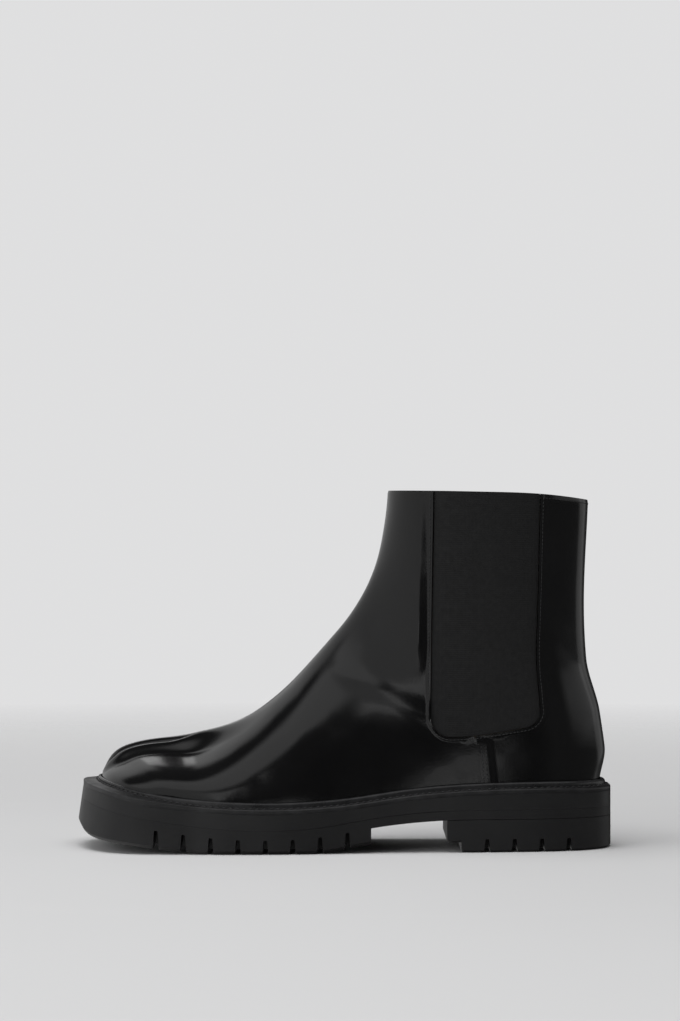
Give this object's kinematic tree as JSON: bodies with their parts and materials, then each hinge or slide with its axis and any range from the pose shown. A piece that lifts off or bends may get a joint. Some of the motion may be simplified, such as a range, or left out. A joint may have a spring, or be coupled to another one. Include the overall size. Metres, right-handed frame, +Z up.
{
  "type": "chelsea boot",
  "caption": "Left pull-on ankle boot in polished black leather with elastic side panels, a split toe and a thick lugged rubber sole.",
  "frame": {"origin": "on the ground under the centre of the boot's plan", "axes": "+X towards the heel, so the toe points to -X; +Y towards the inner (medial) side, so the outer side faces -Y; +Z up"},
  "size_m": [0.3004, 0.1132, 0.2002],
  "materials": {
    "upper_leather": "polished, glossy black",
    "elastic": "matte black woven rib",
    "lining": "matte unpolished leather",
    "stiffener": "pressed fibre sheet",
    "insole_board": "plain leather board",
    "heel_pad": "covered foam",
    "cork": "ground cork",
    "steel": "plain steel",
    "welt": "waxed black edge",
    "midsole_rubber": "satin black",
    "outsole_rubber": "satin black moulded"
  },
  "bodies": {
    "root": {"vamp": "upper_leather", "rear_quarter": "upper_leather", "elastic_gore_lateral": "elastic", "elastic_gore_medial": "elastic", "vamp_lining": "lining", "quarter_lining": "lining", "lateral_toe_puff": "stiffener", "medial_toe_puff": "stiffener", "heel_counter": "stiffener", "insole_board": "insole_board", "sock_liner": "lining", "heel_pad": "heel_pad", "cork_filler": "cork", "shank": "steel", "welt": "welt", "storm_bead": "welt", "midsole": "midsole_rubber", "outsole": "outsole_rubber", "heel_block": "outsole_rubber", "heel_nail_1": "steel", "heel_nail_2": "steel", "heel_nail_3": "steel", "heel_nail_4": "steel", "heel_nail_5": "steel"}
  },
  "joints": []
}
